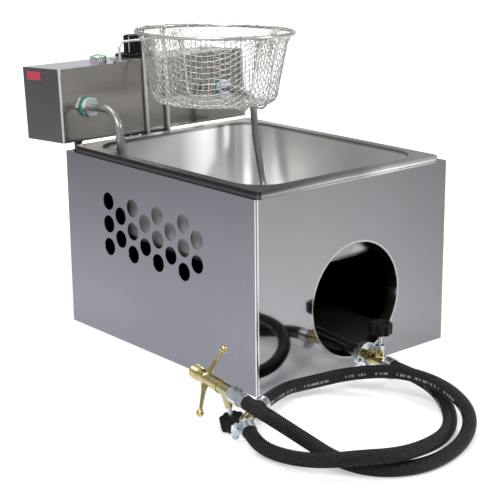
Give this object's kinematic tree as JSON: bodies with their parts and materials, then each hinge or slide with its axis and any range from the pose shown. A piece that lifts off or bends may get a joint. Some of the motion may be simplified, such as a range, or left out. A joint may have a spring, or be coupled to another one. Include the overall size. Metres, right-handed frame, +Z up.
{
  "type": "bench fryer kit",
  "caption": "Bench fryer: steel housing with drop-in pan, electric head with immersion element, round wire basket, and a gas burner with looped hose and wing-screw connector.",
  "frame": {"origin": "on the floor, under the middle of the housing's footprint", "axes": "+Z up; the round burner opening faces -Y and the control head stands at the +Y end"},
  "size_m": [0.3814, 0.6698, 0.3468],
  "materials": {
    "housing": "satin brushed stainless sheet",
    "pan_steel": "drawn stainless, satin",
    "head_steel": "satin brushed stainless sheet",
    "element_steel": "dull sheathed-element steel",
    "wire_steel": "bright drawn wire",
    "zinc": "bright zinc plate",
    "pilot_chrome": "chromed",
    "brass": "machined brass, slightly iridescent",
    "black_steel": "black painted",
    "cast_iron": "as cast",
    "knob_black": "moulded phenolic, satin",
    "gland_black": "matt",
    "switch_plastic": "moulded, cream",
    "gasket_green": "green sealing ring",
    "lens_green": "translucent green lens",
    "label_red": "red plate, blank",
    "hose_rubber": "black with textile braid"
  },
  "bodies": {
    "housing": {"housing_wrap": "housing", "rear_panel": "housing", "rear_rivets": "housing", "opening_collar": "housing", "mixing_tube": "zinc", "burner_jet": "brass", "valve_body": "brass", "valve_gland": "brass", "burner_head": "cast_iron", "burner_crossbar": "housing", "burner_screw": "zinc", "outer_hose": "hose_rubber", "inner_hose": "hose_rubber", "hose_joiner": "brass", "hose_clamps": "zinc", "clamp_screws": "zinc", "connector_body": "brass", "body_ring": "brass", "hose_nut": "zinc", "hose_tail": "zinc"},
    "burner_cap": {"burner_cap": "cast_iron"},
    "air_shutter": {"air_shutter": "zinc"},
    "gas_valve": {"valve_knob": "knob_black", "valve_stem": "zinc"},
    "wing_screw": {"wing_screw": "brass"},
    "connector_valve": {"side_knob": "knob_black", "side_stem": "zinc"},
    "pan": {"pan": "pan_steel"},
    "head": {"head_tray": "head_steel", "head_cover": "head_steel", "cover_screws": "zinc", "head_bracket": "black_steel", "bracket_screws": "zinc", "cable_gland": "gland_black", "rating_label": "label_red", "heating_element": "element_steel", "element_gaskets": "gasket_green", "element_nuts": "zinc", "element_braces": "element_steel", "thermostat_bulb": "element_steel", "capillary_clips": "wire_steel", "thermostat": "switch_plastic", "terminal_block": "switch_plastic", "dial_plate": "head_steel", "pilot_bezel": "pilot_chrome", "pilot_lens": "lens_green", "pilot_nut": "zinc", "guard_rail": "wire_steel", "rail_feet": "wire_steel"},
    "thermostat_knob": {"thermostat_knob": "knob_black", "thermostat_spindle": "zinc"},
    "basket": {"basket_mesh": "wire_steel", "basket_rim": "wire_steel", "basket_frame": "wire_steel", "basket_hangers": "wire_steel"}
  },
  "joints": [
    {"name": "pan_lift", "type": "slide", "parent": "housing", "child": "pan", "axis": [0, 0, 1], "range_m": [0, 0.15]},
    {"name": "head_lift", "type": "slide", "parent": "pan", "child": "head", "axis": [0, 0.0558, 0.9984], "range_m": [0, 0.15]},
    {"name": "basket_lift", "type": "slide", "parent": "head", "child": "basket", "axis": [0, 0.0558, 0.9984], "range_m": [0, 0.15]},
    {"name": "thermostat_turn", "type": "hinge", "parent": "head", "child": "thermostat_knob", "pos_m": [0, 0.21744, 0.2973], "axis": [0, 0.0558, 0.9984], "range_deg": [0, 270]},
    {"name": "gas_valve_turn", "type": "hinge", "parent": "housing", "child": "gas_valve", "pos_m": [-0.01169, -0.21555, 0.02232], "axis": [-0.0019, -0.0378, 0.9993], "range_deg": [0, 270]},
    {"name": "air_shutter_turn", "type": "hinge", "parent": "housing", "child": "air_shutter", "pos_m": [-0.0104, -0.1896, 0.0233], "axis": [0.0495, 0.9981, 0.0379], "range_deg": [0, 60]},
    {"name": "burner_cap_lift", "type": "slide", "parent": "housing", "child": "burner_cap", "axis": [-0.0019, -0.0378, 0.9993], "range_m": [0, 0.03]},
    {"name": "wing_screw_turn", "type": "hinge", "parent": "housing", "child": "wing_screw", "pos_m": [-0.214, -0.17791, 0.044], "axis": [-0.1609, -0.987, 0], "continuous": true},
    {"name": "connector_valve_turn", "type": "hinge", "parent": "housing", "child": "connector_valve", "pos_m": [-0.22006, -0.21502, 0.044], "axis": [0.2052, -0.0335, -0.9781], "range_deg": [0, 270]}
  ]
}
